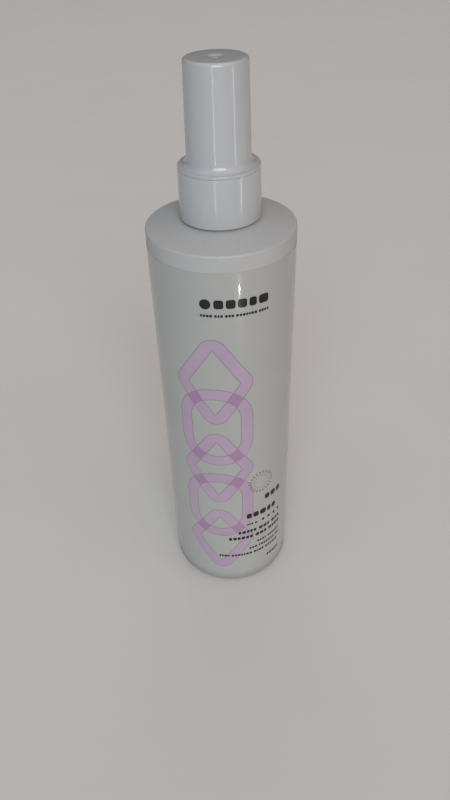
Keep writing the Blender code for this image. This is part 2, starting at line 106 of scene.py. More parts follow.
# Node materials -----------------------------------------------------------------------------------------
class Look:
    """A Principled material whose colour, roughness and bump come from nodes in object space, in mm."""

    def __init__(self, name, **constants):
        self.material = bpy.data.materials.new(name)
        self.material.use_nodes = True
        self.tree = self.material.node_tree
        self.shader = self.tree.nodes["Principled BSDF"]
        for socket, value in constants.items():
            self.shader.inputs[socket.replace("_", " ")].default_value = value
        coords = self.node("ShaderNodeTexCoord")
        self.place = self.node("ShaderNodeVectorMath", operation="SCALE")
        self.place.inputs["Scale"].default_value = 1 / MM
        self.join(coords.outputs["Object"], self.place.inputs[0])
        self.height = None

    def node(self, kind, **settings):
        node = self.tree.nodes.new(kind)
        for key, value in settings.items():
            setattr(node, key, value)
        return node

    def join(self, a, b):
        self.tree.links.new(a, b)

    def stretched(self, scale):
        """The position in mm, multiplied by a scale for each axis."""
        node = self.node("ShaderNodeVectorMath", operation="MULTIPLY")
        self.join(self.place.outputs[0], node.inputs[0])
        node.inputs[1].default_value = scale
        return node.outputs[0]

    def noise(self, per_mm, detail=3.0, stretch=(1, 1, 1), roughness=0.5):
        node = self.node("ShaderNodeTexNoise")
        node.inputs["Scale"].default_value = per_mm
        node.inputs["Detail"].default_value = detail
        node.inputs["Roughness"].default_value = roughness
        self.join(self.stretched(stretch), node.inputs["Vector"])
        return node.outputs["Fac"]

    def specks(self, per_mm, size):
        """1 on small scattered round specks, 0 elsewhere. size is a share of a cell."""
        node = self.node("ShaderNodeTexVoronoi")
        node.inputs["Scale"].default_value = per_mm
        self.join(self.place.outputs[0], node.inputs["Vector"])
        return self.ramp(node.outputs["Distance"], size * 0.5, size, 1.0, 0.0)

    def ramp(self, value, start, end, low, high):
        node = self.node("ShaderNodeMapRange")
        node.interpolation_type = "SMOOTHSTEP"
        self.join(value, node.inputs["Value"])
        for socket, number in zip(("From Min", "From Max", "To Min", "To Max"), (start, end, low, high)):
            node.inputs[socket].default_value = number
        return node.outputs["Result"]

    def times(self, a, b):
        node = self.node("ShaderNodeMath", operation="MULTIPLY")
        self.join(a, node.inputs[0])
        self.join(b, node.inputs[1])
        return node.outputs[0]

    def axis(self, which):
        node = self.node("ShaderNodeSeparateXYZ")
        self.join(self.place.outputs[0], node.inputs[0])
        return node.outputs[which]

    def mix(self, factor, a, b):
        """Colour a where factor is 0 and b where it is 1. a and b are colours or sockets."""
        node = self.node("ShaderNodeMix", data_type="RGBA")
        self.join(factor, node.inputs["Factor"])
        for key, colour in ((6, a), (7, b)):
            if isinstance(colour, tuple):
                node.inputs[key].default_value = (*colour, 1.0)
            else:
                self.join(colour, node.inputs[key])
        return node.outputs[2]

    def colour(self, socket):
        self.join(socket, self.shader.inputs["Base Color"])

    def rough(self, socket):
        self.join(socket, self.shader.inputs["Roughness"])

    def bump(self, height, depth_mm, strength=1.0):
        """Adds a bump. Several bumps chain through each other's normals."""
        node = self.node("ShaderNodeBump")
        node.inputs["Strength"].default_value = strength
        node.inputs["Distance"].default_value = depth_mm * MM
        self.join(height, node.inputs["Height"])
        if self.height:
            self.join(self.height.outputs[0], node.inputs["Normal"])
        self.height = node
        self.join(node.outputs[0], self.shader.inputs["Normal"])


def satin_bottle():
    """Satin blown plastic, faintly mottled, with dust on the shoulder and painted shade darkening the base
    towards the floor.
    """
    look = Look("satin_bottle", Specular_IOR_Level=0.45)
    mottle = look.noise(0.06, 4.0)
    base = look.mix(mottle, (0.440, 0.449, 0.452), (0.479, 0.486, 0.488))
    shoulder_only = look.ramp(look.axis("Z"), SHOULDER_EDGE - 2, SHOULDER_EDGE, 0.0, 1.0)
    patches = look.ramp(look.noise(0.12, 3.0), 0.45, 0.62, 0.15, 1.0)
    dust = look.times(look.times(look.specks(0.95, 0.20), shoulder_only), patches)
    faint = look.ramp(dust, 0.0, 1.0, 0.0, 0.7)
    dusty = look.mix(faint, base, (0.20, 0.195, 0.18))
    # painted shade: the colour darkens towards the floor, fully below 1 mm and fading out by 10 mm,
    # standing in for the shade where the bottle stands
    painted_base_shade = look.ramp(look.axis("Z"), 1.0, 10.0, 1.0, 0.0)
    look.colour(look.mix(painted_base_shade, dusty, (0.300, 0.303, 0.303)))
    look.rough(look.ramp(look.noise(0.35, 5.0), 0.3, 0.7, 0.36, 0.46))
    look.bump(look.noise(0.05, 2.0), 0.10)
    look.bump(look.noise(3.0, 4.0), 0.006)
    return look.material


def label_film():
    """Clear-coated film, a little uneven over the body."""
    look = Look("label_film", Specular_IOR_Level=0.5, Coat_Weight=0.4, Coat_Roughness=0.05)
    cloud = look.noise(0.05, 4.0)
    look.colour(look.mix(cloud, (0.393, 0.402, 0.393), (0.425, 0.433, 0.423)))
    look.rough(look.ramp(look.noise(0.10, 4.0, (1, 1, 0.6)), 0.2, 0.8, 0.20, 0.265))
    look.bump(look.noise(0.05, 0.0, (1, 1, 0.25)), 0.05)
    look.bump(look.noise(1.2, 2.0), 0.001)
    return look.material


def print_ink(name, dark, light, gloss=0.5):
    """Screen-printed ink: uneven cover, fine grain, and the film's gloss over it."""
    look = Look(name, Specular_IOR_Level=gloss, Coat_Weight=0.6 * gloss, Coat_Roughness=0.05)
    cover = look.noise(1.6, 5.0)
    drift = look.noise(0.04, 2.0)
    even = look.mix(look.ramp(drift, 0.3, 0.7, 0.0, 0.8), dark, light)
    look.colour(look.mix(look.ramp(cover, 0.35, 0.75, 0.0, 0.15), even, light))
    look.rough(look.ramp(cover, 0.3, 0.7, 0.21, 0.26))
    look.bump(cover, 0.0012)
    return look.material


def glossy_cap():
    """Glossy moulded plastic with upright flow waves, fine scratches and a few specks."""
    look = Look("glossy_cap", Specular_IOR_Level=0.55, Coat_Weight=0.25, Coat_Roughness=0.04)
    flow = look.noise(0.10, 4.0, (1, 1, 0.3))
    look.colour(look.mix(flow, (0.455, 0.478, 0.500), (0.492, 0.512, 0.532)))
    scratches = look.noise(1.4, 6.0, (1, 1, 0.06), 0.6)
    look.rough(look.ramp(scratches, 0.35, 0.8, 0.13, 0.24))
    look.bump(look.noise(0.16, 2.0, (1, 1, 0.12)), 0.05)
    look.bump(scratches, 0.0015)
    look.bump(look.specks(0.35, 0.05), 0.01)
    return look.material


def natural_polymer(name, low, high, rough, subsurface):
    """Uncoloured moulded plastic: milky, with flow marks and a fine eroded grain."""
    look = Look(
        name, Subsurface_Weight=subsurface, Subsurface_Scale=2 * MM, Subsurface_Radius=(1.0, 0.9, 0.8)
    )
    look.colour(look.mix(look.noise(0.25, 4.0, (1, 1, 0.3)), low, high))
    look.rough(look.ramp(look.noise(1.5, 4.0), 0.3, 0.7, rough, rough + 0.1))
    look.bump(look.noise(0.5, 2.0, (1, 1, 0.2)), 0.03)
    look.bump(look.noise(5.0, 3.0), 0.004)
    return look.material


def drawn_steel():
    """Bright steel with fine drawing streaks."""
    look = Look("drawn_steel", Metallic=1.0)
    streak = look.noise(2.5, 5.0, (1, 1, 4))
    look.colour(look.mix(streak, (0.50, 0.50, 0.51), (0.66, 0.66, 0.67)))
    look.rough(look.ramp(streak, 0.3, 0.7, 0.16, 0.26))
    look.bump(streak, 0.004)
    return look.material


def pale_floor():
    """A pale, matt, faintly cloudy surface."""
    look = Look("pale_floor", Specular_IOR_Level=0.12)
    look.colour(look.mix(look.noise(0.01, 5.0), (0.640, 0.632, 0.614), (0.675, 0.667, 0.647)))
    look.rough(look.ramp(look.noise(0.08, 4.0), 0.3, 0.7, 0.42, 0.55))
    look.bump(look.noise(0.6, 4.0), 0.02)
    return look.material


# Mesh tools ---------------------------------------------------------------------------------------------
def eased(share):
    """0 to 1 with a soft start and a soft end."""
    return share * share * (3 - 2 * share)


def rounded(corners, steps=6):
    """The outline through (r, z) corners. A third number rounds that corner to that radius."""
    points = []
    count = len(corners)
    for i, corner in enumerate(corners):
        here = Vector(corner[:2])
        if len(corner) == 2:
            points.append(here)
            continue
        before = (Vector(corners[i - 1][:2]) - here).normalized()
        after = (Vector(corners[(i + 1) % count][:2]) - here).normalized()
        half = before.angle(after) / 2
        centre = here + (before + after).normalized() * corner[2] / math.sin(half)
        start = here + before * corner[2] / math.tan(half) - centre
        sweep = start.angle_signed(here + after * corner[2] / math.tan(half) - centre)
        for k in range(steps + 1):
            points.append(centre + Matrix.Rotation(-sweep * k / steps, 2) @ start)
    return points


def piece(name, bm, *materials):
    """The object made from bm, which is freed."""
    bmesh.ops.recalc_face_normals(bm, faces=bm.faces)
    mesh = bpy.data.meshes.new(name)
    bm.to_mesh(mesh)
    bm.free()
    mesh.shade_smooth()
    mesh.set_sharp_from_angle(angle=CREASE)
    obj = bpy.data.objects.new(name, mesh)
    bpy.context.scene.collection.objects.link(obj)
    for material in materials:
        mesh.materials.append(material)
    return obj


def turned(name, outline, *materials, sides=FINE):
    """A solid of revolution about Z from a closed (r, z) outline."""
    bm = bmesh.new()
    ring = [bm.verts.new((max(r, 0) * MM, 0, z * MM)) for r, z in outline]
    edges = [
        bm.edges.new((a, b))
        for a, b in zip(ring, ring[1:] + ring[:1])
        if max(a.co.x, b.co.x) > 1e-7
    ]
    bmesh.ops.spin(
        bm,
        geom=ring + edges,
        cent=(0, 0, 0),
        axis=(0, 0, 1),
        angle=math.tau,
        steps=sides,
        use_merge=True,
    )
    bmesh.ops.remove_doubles(bm, verts=bm.verts, dist=1e-8)
    return piece(name, bm, *materials)


def lofted(name, rings, *materials, closed=False):
    """A skin over equal rings of points in mm: capped at both ends, or joined end to end if closed."""
    bm = bmesh.new()
    loops = [[bm.verts.new(Vector(p) * MM) for p in ring] for ring in rings]
    pairs = list(zip(loops, loops[1:]))
    if closed:
        pairs.append((loops[-1], loops[0]))
    for low, high in pairs:
        for i in range(len(low)):
            j = (i + 1) % len(low)
            bm.faces.new((low[i], low[j], high[j], high[i]))
    if not closed:
        bm.faces.new(loops[0])
        bm.faces.new(loops[-1])
    return piece(name, bm, *materials)


def rod(radius, low, high, axis="Z", at=(0, 0, 0), sides=48):
    """A cutter or a joining piece: a cylinder from low to high along an axis."""
    bm = bmesh.new()
    turn = {
        "X": Matrix.Rotation(math.radians(90), 4, "Y"),
        "Y": Matrix.Rotation(math.radians(-90), 4, "X"),
        "Z": Matrix.Identity(4),
    }[axis]
    middle = turn @ Vector((0, 0, (low + high) / 2)) + Vector(at)
    bmesh.ops.create_cone(
        bm,
        cap_ends=True,
        segments=sides,
        radius1=radius * MM,
        radius2=radius * MM,
        depth=(high - low) * MM,
        matrix=Matrix.Translation(middle * MM) @ turn,
    )
    return piece("helper", bm)


def block(low, high, turn=0.0):
    """A joining piece: a box between two corners, then turned about Z by an angle in degrees."""
    bm = bmesh.new()
    size = Vector(high) - Vector(low)
    middle = (Vector(high) + Vector(low)) / 2
    place = Matrix.Translation(middle * MM) @ Matrix.Diagonal((*(size * MM), 1))
    bmesh.ops.create_cube(bm, size=1, matrix=Matrix.Rotation(math.radians(turn), 4, "Z") @ place)
    return piece("helper", bm)


def combine(obj, *steps):
    """Applies (operation, other) steps to obj as exact booleans, and removes the others."""
    for operation, other in steps:
        modifier = obj.modifiers.new("step", "BOOLEAN")
        modifier.operation = operation
        modifier.object = other
        modifier.solver = "EXACT"
    graph = bpy.context.evaluated_depsgraph_get()
    mesh = bpy.data.meshes.new_from_object(obj.evaluated_get(graph))
    obj.modifiers.clear()
    old = obj.data
    obj.data = mesh
    bpy.data.meshes.remove(old)
    for _, other in steps:
        bpy.data.objects.remove(other)
    mesh.shade_smooth()
    mesh.set_sharp_from_angle(angle=CREASE)
    return obj


def helical_rib(wall_r, crest_r, start_z, start_turn, turns):
    """A rounded thread rib that runs out into its wall at both ends."""
    side = 1 if crest_r > wall_r else -1
    foot_r = wall_r - side * 0.35
    buried_r = wall_r - side * 0.12
    steps = round(turns * ROUND)
    runout = 0.09           # share of the rib over which each end sinks into the wall
    rings = []
    for i in range(steps + 1):
        share = i / steps
        rise = eased(min(1.0, min(share, 1 - share) / runout))
        top_r = buried_r + (crest_r - buried_r) * rise
        angle = (start_turn + share * turns) * math.tau
        z = start_z + share * turns * PITCH
        bend = (top_r - foot_r) * 0.12
        section = (
            (foot_r, -0.78),
            (top_r - 2 * bend, -0.52),
            (top_r - bend * 0.6, -0.44),
            (top_r, -0.28),
            (top_r, 0.28),
            (top_r - bend * 0.6, 0.44),
            (top_r - 2 * bend, 0.52),
            (foot_r, 0.78),
        )
        rings.append([(r * math.cos(angle), r * math.sin(angle), z + h) for r, h in section])
    return lofted("helper", rings)


def coil(name, mean_r, wire_r, low_z, high_z, coils, material):
    """A round-wire spring with a closed coil at each end."""
    wire_sides, per_coil = 12, 40
    steps = coils * per_coil
    low, high = low_z + wire_r, high_z - wire_r
    closed_share = 1 / coils
    closed_rise = 2.15 * wire_r     # of an end coil, which almost touches the next
    rings = []
    for i in range(steps + 1):
        share = i / steps
        end = min(share, 1 - share) / closed_share
        if end < 1:
            rise = closed_rise * end
            z = low + rise if share < 0.5 else high - rise
        else:
            middle = (share - closed_share) / (1 - 2 * closed_share)
            z = low + closed_rise + middle * (high - low - 2 * closed_rise)
        angle = share * coils * math.tau
        out = Vector((math.cos(angle), math.sin(angle), 0))
        ring = []
        for k in range(wire_sides):
            turn = k * math.tau / wire_sides
            offset = out * (mean_r + wire_r * math.cos(turn))
            ring.append(offset + Vector((0, 0, z + wire_r * math.sin(turn))))
        rings.append(ring)
    return lofted(name, rings, material)


def finished(obj, body, node=None):
    """The piece rides on its body and, when a node is given, stands for that CAD node, which is hidden."""
    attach(obj, body)
    if node:
        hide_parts(node)
    return obj


# Bottle -------------------------------------------------------------------------------------------------
def build_bottle(material):
    """Blown body: push-up with a pinch-off seam, standing ring, crisp shoulder edge, threaded neck."""
    inner_r, base = BODY_R - 1.0, 1.3
    ring_r, slope_r, push_up = 20.9, 16.0, 2.9
    outline = rounded(
        [
            (0, push_up),
            (9.0, push_up - 0.2),
            (slope_r, push_up - 0.5, 4.0),
            (ring_r, 0, 0.6),
            (BODY_R, 0, 3.0),
            (BODY_R, SHOULDER_EDGE + 0.05, 0.8),
            (NECK_R + 1.6, SHOULDER_EDGE + 2.6, 0.8),
            (NECK_R, SHOULDER_EDGE + 3.6, 0.5),
            (NECK_R, NECK_TOP, 0.35),
            (NECK_BORE_R, NECK_TOP, 0.35),
            (NECK_BORE_R, SHOULDER_EDGE + 1.2, 1.0),
            (inner_r, SHOULDER_EDGE - 1.3, 1.2),
            (inner_r, base, 2.5),
            (ring_r + 0.3, base, 1.0),
            (slope_r, push_up + 0.9, 2.0),
            (0, push_up + 1.4),
        ],
        8,
    )
    bottle = turned("bottle_shell", outline, material, sides=ROUND)
    thread_depth, thread_turns = 1.0, 1.5
    thread = helical_rib(NECK_R, NECK_R + thread_depth, THREAD_START, 0.0, thread_turns)
    seam_reach, seam_half = 15.5, 0.22
    pinch_off = block((-seam_reach, -seam_half, push_up - 0.8), (seam_reach, seam_half, push_up + 0.3))
    combine(bottle, ("UNION", thread), ("UNION", pinch_off))
    return finished(bottle, "bottle", "bottle")


def build_label(material):
    """Wrapped film: one turn and a short overlap, whose outer end steps over the inner one at the back."""
    overlap, step_out = 3.0, LABEL_FILM + 0.02
    steps = LABEL_SIDES + round(overlap / BODY_R / math.tau * LABEL_SIDES) + 1
    seam = math.radians(90)
    climb_start, climb_sides = LABEL_SIDES - 5, 4
    rings = []
    for i in range(steps + 1):
        angle = seam + i * math.tau / LABEL_SIDES
        climb = max(0.0, min(1.0, (i - climb_start) / climb_sides))
        inner = LABEL_INNER_R + step_out * eased(climb)
        outer = inner + LABEL_FILM
        direction = Vector((math.cos(angle), math.sin(angle), 0))
        section = [(inner, LABEL_LOW), (outer, LABEL_LOW), (outer, LABEL_HIGH), (inner, LABEL_HIGH)]
        rings.append([direction * r + Vector((0, 0, z)) for r, z in section])
    return finished(lofted("label_wrap", rings, material), "bottle", "wrap_label")


# Print on the label -------------------------------------------------------------------------------------
def rounded_loop(centres, radius, per_turn=72):
    """The outline at a distance radius outside a convex, counter-clockwise polygon of (u, z) centres."""
    count = len(centres)
    points = []
    for i in range(count):
        here = Vector(centres[i])
        if count == 1:
            first, sweep = 0.0, math.tau
        else:
            into = here - Vector(centres[i - 1])
            out = Vector(centres[(i + 1) % count]) - here
            first = math.atan2(into.y, into.x) - math.pi / 2
            sweep = (math.atan2(out.y, out.x) - math.atan2(into.y, into.x)) % math.tau
        steps = max(2, round(per_turn * sweep / math.tau))
        last = steps if count > 1 else steps - 1
        for k in range(last + 1):
            turn = first + sweep * k / steps
            points.append(here + Vector((math.cos(turn), math.sin(turn))) * radius)
    return points


def flat_band(centres, radius, width, rim, thickness):
    """A flat closed stroke in the (u, z) plane: material 0, between rims of material 1 if rim isn't 0."""
    half = width / 2
    offsets = [half, half - rim, rim - half, -half] if rim else [half, -half]
    bm = bmesh.new()
    layers = []
    for w in (-thickness / 2, thickness / 2):
        loops = []
        for offset in offsets:
            loop = rounded_loop(centres, radius + offset)
            loops.append([bm.verts.new((p.x * MM, p.y * MM, w * MM)) for p in loop])
        layers.append(loops)
    count = len(layers[0][0])
    for loops in layers:
        for k, (outer, inner) in enumerate(zip(loops, loops[1:])):
            for i in range(count):
                j = (i + 1) % count
                face = bm.faces.new((outer[i], outer[j], inner[j], inner[i]))
                face.material_index = 1 if rim and k != 1 else 0
    for k in (0, len(offsets) - 1):
        for i in range(count):
            j = (i + 1) % count
            face = bm.faces.new((layers[0][k][i], layers[0][k][j], layers[1][k][j], layers[1][k][i]))
            face.material_index = 1 if rim else 0
    return bm


def flat_shape(bm, centres, radius, per_turn):
    """Adds a filled patch of ink with round ends or corners to bm."""
    loop = rounded_loop(centres, radius, per_turn)
    low = [bm.verts.new((p.x * MM, p.y * MM, -INK / 2 * MM)) for p in loop]
    high = [bm.verts.new((p.x * MM, p.y * MM, INK / 2 * MM)) for p in loop]
    bm.faces.new(low)
    bm.faces.new(high)
    for i in range(len(loop)):
        j = (i + 1) % len(loop)
        bm.faces.new((low[i], low[j], high[j], high[i]))


def wrap(obj, radius):
    """Cuts a flat (u, z, w) piece to the label's grid and bends it round the bottle, centred on -Y."""
    bm = bmesh.new()
    bm.from_mesh(obj.data)
    step = radius * math.tau / LABEL_SIDES * MM
    low = min(v.co.x for v in bm.verts)
    high = max(v.co.x for v in bm.verts)
    for k in range(math.ceil(low / step), math.floor(high / step) + 1):
        geometry = bm.verts[:] + bm.edges[:] + bm.faces[:]
        bmesh.ops.bisect_plane(bm, geom=geometry, dist=1e-9, plane_co=(k * step, 0, 0), plane_no=(1, 0, 0))
    for vertex in bm.verts:
        u, z, w = vertex.co
        angle = u / (radius * MM)
        reach = radius * MM + w
        vertex.co = (reach * math.sin(angle), -reach * math.cos(angle), z)
    bmesh.ops.recalc_face_normals(bm, faces=bm.faces)
    bm.to_mesh(obj.data)
    bm.free()
    obj.data.shade_smooth()
    obj.data.set_sharp_from_angle(angle=CREASE)
    return obj


def chain_shapes():
    """The interlaced column: (corner centres, corner radius) of each stroke's middle line, from the top."""
    middle_u, half_u, half_z = -8.4, 12.0, 16.6
    top_z, pitch = 116.3, 21.5
    kinds = (("lozenge", 3.0), ("oval", 11.4), ("lozenge", 3.0), ("oval", 11.4), ("lozenge", 3.0))
    shapes = []
    for i, (kind, corner) in enumerate(kinds):
        z = top_z - i * pitch
        u, h = half_u - corner, half_z - corner
        if kind == "lozenge":
            corners = [(-u, 0), (0, -h), (u, 0), (0, h)]
        else:
            corners = [(-u, -h), (u, -h), (u, h), (-u, h)]
        shapes.append(([(middle_u + du, z + dz) for du, dz in corners], corner))
    return shapes


def build_chain(plain, rim_ink, deep):
    """Pink strokes linked like a chain: where two strokes cross, a patch of deeper ink."""
    width, rim, cutter_height = 5.0, 0.3, 6 * INK
    shapes = chain_shapes()

    def stroke(index, cutter):
        centres, corner = shapes[index]
        if cutter:
            return piece("helper", flat_band(centres, corner, width, 0.0, cutter_height), plain, rim_ink)
        return piece("helper", flat_band(centres, corner, width, rim, INK), plain, rim_ink)

    for i in range(len(shapes)):
        cuts = [("DIFFERENCE", stroke(j, True)) for j in (i - 1, i + 1) if 0 <= j < len(shapes)]
        link = combine(stroke(i, False), *cuts)
        link.name = "print_link_%d" % (i + 1)
        finished(wrap(link, PRINT_R), "bottle")
    for i in range(len(shapes) - 1):
        patch = combine(stroke(i, False), ("INTERSECT", stroke(i + 1, True)))
        patch.name = "print_crossing_%d" % (i + 1)
        patch.data.materials[0] = deep
        finished(wrap(patch, PRINT_R), "bottle")


def spokes(count):
    """Unit directions in the (u, z) plane, evenly round the circle."""
    turns = [k * math.tau / count for k in range(count)]
    return [Vector((math.cos(turn), math.sin(turn))) for turn in turns]


def build_seal(ink):
    """A plain seal: a ring of short radial dashes round a ring of dots."""
    centre = Vector((9.9, 62.6))
    dash_start, dash_end, dash_r = 4.7, 5.7, 0.27
    dot_ring_r, dot_r = 3.4, 0.24
    bm = bmesh.new()
    for out in spokes(22):
        flat_shape(bm, [centre + out * dash_start, centre + out * dash_end], dash_r, 12)
    for out in spokes(16):
        flat_shape(bm, [centre + out * dot_ring_r], dot_r, 10)
    finished(wrap(piece("print_seal", bm, ink), OVERPRINT_R), "bottle")


def greeked_row(bm, left, right, z, height, rng):
    """A row of small rounded blocks from left to right, in groups, as text is greeked."""
    corner = height * 0.28
    letter_gap, word_gap = height * 0.24, height * 0.75
    u, left_in_group = left, rng.randint(3, 6)
    while right - u > height * 0.5:
        length = min(rng.uniform(0.62, 1.05) * height, right - u)
        if right - (u + length) < height * 0.6:
            length = right - u
        start, end = u + corner, u + length - corner
        low, high = z - height / 2 + corner, z + height / 2 - corner
        flat_shape(bm, [(start, low), (end, low), (end, high), (start, high)], corner, 16)
        left_in_group -= 1
        u += length + (word_gap if left_in_group == 0 else letter_gap)
        if left_in_group == 0:
            left_in_group = rng.randint(3, 7)


def build_text_bars(ink):
    """Blocks and dots in place of the label's text: a heading at the top and a block set to the right."""
    rng = random.Random(11)
    left, right, heading_z = -12.0, 12.0, 149.3
    bm = bmesh.new()
    flat_shape(bm, [(-10.2, heading_z)], 1.9, 48)
    greeked_row(bm, -7.3, right, heading_z, 3.3, rng)
    greeked_row(bm, left, right, heading_z - 4.4, 1.0, rng)
    finished(wrap(piece("print_heading", bm, ink), OVERPRINT_R), "bottle")

    right = 21.0
    rows = (
        (11.8, 52.2, 3.0),
        (3.0, 43.9, 3.0),
        (-0.6, 34.0, 1.8),
        (-5.0, 30.4, 1.8),
        (8.0, 25.6, 1.25),
        (4.2, 22.3, 1.25),
        (-9.6, 19.0, 1.25),
        (13.4, 12.4, 1.5),
    )
    bm = bmesh.new()
    for left, z, height in rows:
        greeked_row(bm, left, right, z, height, rng)
    greeked_row(bm, 3.2, 8.0, 38.5, 1.0, rng)
    dot_pitch, dot_r = 3.1, 0.72
    for k in range(4):
        flat_shape(bm, [(11.0 + dot_pitch * k, 38.7)], dot_r, 20)
    finished(wrap(piece("print_text_block", bm, ink), OVERPRINT_R), "bottle")


# Collar and overcap -------------------------------------------------------------------------------------
def build_collar(material):
    """Tapered skirt, roof, grip ring with its snap bead, and the inside thread."""
    top_r, bore_r, hole_r = COLLAR_R - 0.4, 12.2, 4.95
    bead, bead_z = 0.09, ROOF_TOP + 5.1
    outline = rounded(
        [
            (bore_r, COLLAR_LOW, 0.2),
            (COLLAR_R, COLLAR_LOW, 0.55),
            (top_r, ROOF_TOP, 0.12),
            (SHROUD_R + 0.5, ROOF_TOP, 0.2),
            (SHROUD_R, ROOF_TOP + 0.5, 0.4),
            (SHROUD_R, bead_z - 0.5, 0.2),
            (SHROUD_R + bead, bead_z, 0.4),
            (SHROUD_R, bead_z + 0.5, 0.2),
            (SHROUD_R, SHROUD_TOP, 0.35),
            (SHROUD_BORE_R, SHROUD_TOP, 0.35),
            (SHROUD_BORE_R, ROOF_TOP, 0.3),
            (hole_r, ROOF_TOP, 0.25),
            (hole_r, ROOF_LOW, 0.25),
            (bore_r, ROOF_LOW, 0.5),
        ],
        6,
    )
    collar = turned("collar_shell", outline, material, sides=ROUND)
    crest_r, quarter_back = NECK_R + 0.25, -0.25
    thread_z = THREAD_START - 1.45 + PITCH * quarter_back
    thread = helical_rib(bore_r, crest_r, thread_z, quarter_back, 1.25)
    combine(collar, ("UNION", thread))
    return finished(collar, "collar", "screw_collar")


def build_overcap(material):
    """Thin-walled cap: gate mark in a dimple, soft top edge, flared foot, and grip ribs inside."""
    low_r, top_r, wall = 10.65, 10.0, 1.2
    flange_top, foot = CAP_LOW + 0.75, ROOF_TOP + 0.06
    roof = CAP_TOP - wall - 0.4
    gate_r, dimple_r, gate_z = 0.55, 2.7, CAP_TOP - 0.28
    outline = rounded(
        [
            (0, gate_z),
            (gate_r, gate_z, 0.08),
            (gate_r + 0.15, gate_z - 0.14, 0.08),
            (dimple_r - 1.2, gate_z - 0.08, 0.6),
            (dimple_r, CAP_TOP - 0.02, 0.8),
            (top_r, CAP_TOP, 1.15),
            (low_r, flange_top, 2.6),
            (FLANGE_R, flange_top, 0.3),
            (FLANGE_R, foot, 0.1),
            (low_r - wall + 0.35, foot, 0.1),
            (low_r - wall, foot + 0.5, 0.3),
            (low_r - wall, SHROUD_TOP, 1.0),
            (top_r - wall, roof, 1.0),
            (0, roof),
        ],
        10,
    )
    cap = turned("cap_shell", outline, material, sides=ROUND)
    rib_half, inner_r = 0.35, top_r - wall
    rib_low = (inner_r - 0.55, -rib_half, SHROUD_TOP + 1.5)
    rib_high = (inner_r + 0.4, rib_half, roof + 0.3)
    combine(cap, *(("UNION", block(rib_low, rib_high, 30 + 60 * k)) for k in range(6)))
    return finished(cap, "overcap", "overcap")


# Actuator and nozzle ------------------------------------------------------------------------------------
def build_actuator(material):
    """Push button: dished top with grip grooves, flat round the nozzle, stem socket, ribs and passages."""
    skin, dish, dish_r = 0.9, 0.9, 6.6
    inner_r = ACTUATOR_R - skin
    roof = ACTUATOR_TOP - 2.5
    groove_pitch, groove_half, groove_depth = 1.05, 0.22, 0.2
    grooves = []
    for k in range(1, 5):
        r = 1.1 + groove_pitch * k
        z = ACTUATOR_TOP - dish * (1 - (r / dish_r) ** 2)
        grooves += [(r - groove_half, z - 0.02), (r, z - groove_depth), (r + groove_half, z + 0.02)]
    outline = rounded(
        [
            (0, ACTUATOR_TOP - dish),
            *grooves,
            (dish_r, ACTUATOR_TOP, 0.5),
            (ACTUATOR_R - 0.12, ACTUATOR_TOP, 0.7),
            (ACTUATOR_R, ACTUATOR_LOW, 0.25),
            (inner_r, ACTUATOR_LOW, 0.25),
            (inner_r - 0.05, roof, 0.6),
            (0, roof),
        ]
    )
    actuator = turned("actuator_button", outline, material, sides=FINE)

    nozzle_axis = (0, 0, NOZZLE_Z)
    front, seat_y = -ACTUATOR_R, 3.2 - ACTUATOR_R
    seat_r, pin_r, flat_r, nozzle_boss_r = 2.3, 1.1, 3.0, 3.3
    socket_r, boss_r, feed_r, channel_r = STEM_R + 0.15, 3.2, 0.7, 0.6
    channel_z = NOZZLE_Z + 1.7
    seat = rod(seat_r, front - 1, seat_y, "Y", nozzle_axis)
    combine(seat, ("DIFFERENCE", rod(pin_r, front + 1.6, seat_y, "Y", nozzle_axis)))
    rib_low, rib_high = (2.6, -0.4, 197.0), (inner_r + 0.4, 0.4, roof + 0.4)
    combine(
        actuator,
        ("UNION", rod(boss_r, ACTUATOR_LOW + 2.2, roof + 0.5)),
        ("UNION", rod(nozzle_boss_r, front + 1.0, 0, "Y", nozzle_axis)),
        *(("UNION", block(rib_low, rib_high, 90 * k)) for k in range(3)),
        ("DIFFERENCE", rod(socket_r, ACTUATOR_LOW, STEM_TOP + 0.25)),
        ("DIFFERENCE", rod(feed_r, STEM_TOP, channel_z + feed_r, sides=24)),
        ("DIFFERENCE", rod(channel_r, seat_y - 0.6, 0, "Y", (0, 0, channel_z), 24)),
        ("DIFFERENCE", rod(flat_r, front - 1, front + 0.6, "Y", nozzle_axis)),
        ("DIFFERENCE", seat),
    )
    return finished(actuator, "actuator", "actuator")


def build_nozzle(material):
    """Swirl cup with a countersunk orifice."""
    cup_r, hollow_r, orifice_r = 2.15, 1.25, 0.22
    length, cup_depth, face_y = 2.3, 1.5, 3.0 - ACTUATOR_R
    outline = rounded(
        [
            (hollow_r, 0),
            (cup_r, 0, 0.1),
            (cup_r, length, 0.25),
            (cup_r - 1.0, length, 0.1),
            (0.75, length - 0.25, 0.1),
            (orifice_r, length - 0.32),
            (orifice_r, cup_depth),
            (hollow_r, cup_depth),
        ]
    )
    nozzle = turned("nozzle_cup", outline, material, sides=FINE)
    turn = Matrix.Rotation(math.radians(90), 4, "X")
    nozzle.data.transform(Matrix.Translation(Vector((0, face_y, NOZZLE_Z)) * MM) @ turn)
    return finished(nozzle, "actuator", "nozzle_insert")


# Pump ---------------------------------------------------------------------------------------------------
def build_gasket(material):
    bore_r = 7.3
    outline = rounded(
        [
            (bore_r, GASKET_LOW, 0.15),
            (GASKET_R, GASKET_LOW, 0.2),
            (GASKET_R, GASKET_TOP, 0.2),
            (bore_r, GASKET_TOP, 0.15),
        ]
    )
    return finished(turned("gasket_ring", outline, material), "pump", "neck_gasket")


